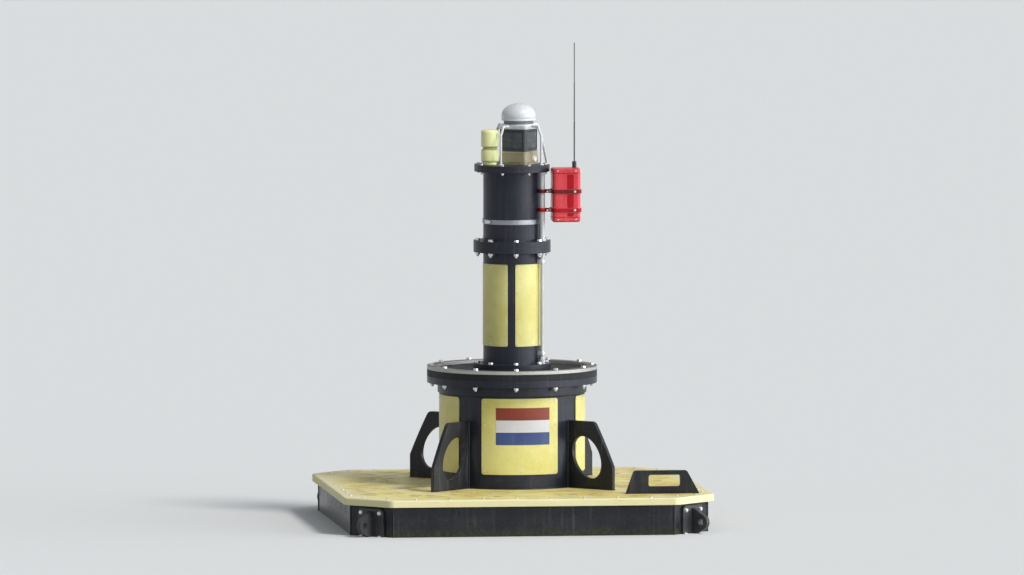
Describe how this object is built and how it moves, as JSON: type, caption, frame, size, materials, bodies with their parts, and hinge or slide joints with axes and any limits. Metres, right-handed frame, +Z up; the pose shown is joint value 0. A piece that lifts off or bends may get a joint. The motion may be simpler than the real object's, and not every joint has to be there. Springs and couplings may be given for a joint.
{
  "type": "moored wave energy buoy with mast and lantern",
  "caption": "Flat square float with cut corners, a bolted drum and mast, lantern head, whip antenna, red equipment housing and mooring lugs.",
  "frame": {"origin": "centre of the float's flat bottom", "axes": "+Z up along the mast, -Y out of the front face, +X towards the side that carries the red housing and the tow bracket"},
  "size_m": [2.57, 2.57, 3.692],
  "materials": {
    "black_float": "black polyethylene, satin, scuffed",
    "yellow_deck": "yellow, satin, weathered",
    "black_pipe": "black polyethylene pipe, satin sheen",
    "black_plate": "black polyethylene plate, satin",
    "yellow_sheet": "yellow marking sheet, satin",
    "stainless_steel": "stainless, dulled by salt",
    "painted_steel": "dark paint, satin",
    "red_housing": "red, semi-gloss",
    "black_antenna": "black sleeve, matt",
    "lantern_base": "olive yellow, matt",
    "solar_panel": "dark solar cells behind clear cover",
    "lantern_hood": "pale grey, matt",
    "lantern_seam": "dark grey seal",
    "white_dome": "white, semi-gloss",
    "yellow_signal": "bright yellow, semi-gloss",
    "ballast_steel": "rough cast",
    "generator_housing": "grey paint"
  },
  "bodies": {
    "root": {"hull_block": "black_float", "deck_plate": "yellow_deck", "drum_tube": "black_pipe", "drum_flange": "black_pipe", "drum_cover": "black_pipe", "drum_backing_ring": "stainless_steel", "drum_panel_front": "yellow_sheet", "drum_panel_right": "yellow_sheet", "drum_panel_back": "yellow_sheet", "drum_panel_left": "yellow_sheet", "gusset_front_right": "black_plate", "gusset_back_right": "black_plate", "gusset_back_left": "black_plate", "gusset_front_left": "black_plate", "mooring_lug_front_right": "painted_steel", "mooring_lug_back_right": "painted_steel", "mooring_lug_back_left": "painted_steel", "mooring_lug_front_left": "painted_steel", "tow_bracket": "black_plate", "mast_tube_lower": "black_pipe", "mast_tube_upper": "black_pipe", "mast_base_flange": "black_pipe", "mast_flange_lower": "black_pipe", "mast_flange_upper": "black_pipe", "mast_top_flange": "black_pipe", "mast_top_plate": "black_pipe", "mast_band": "stainless_steel", "mast_panel_front": "yellow_sheet", "mast_panel_right": "yellow_sheet", "mast_panel_back": "yellow_sheet", "mast_panel_left": "yellow_sheet", "side_pole": "stainless_steel", "cable_conduit": "stainless_steel", "conduit_clips": "stainless_steel", "equipment_housing": "red_housing", "housing_strap_lower": "painted_steel", "housing_strap_upper": "painted_steel", "whip_antenna": "black_antenna", "lantern_base": "lantern_base", "lantern_solar_body": "solar_panel", "lantern_hood": "lantern_hood", "lantern_seam_ring": "lantern_seam", "lantern_dome": "white_dome", "lantern_guard": "stainless_steel", "signal_unit": "yellow_signal", "ballast_block": "ballast_steel", "generator_block": "generator_housing"}
  },
  "joints": []
}
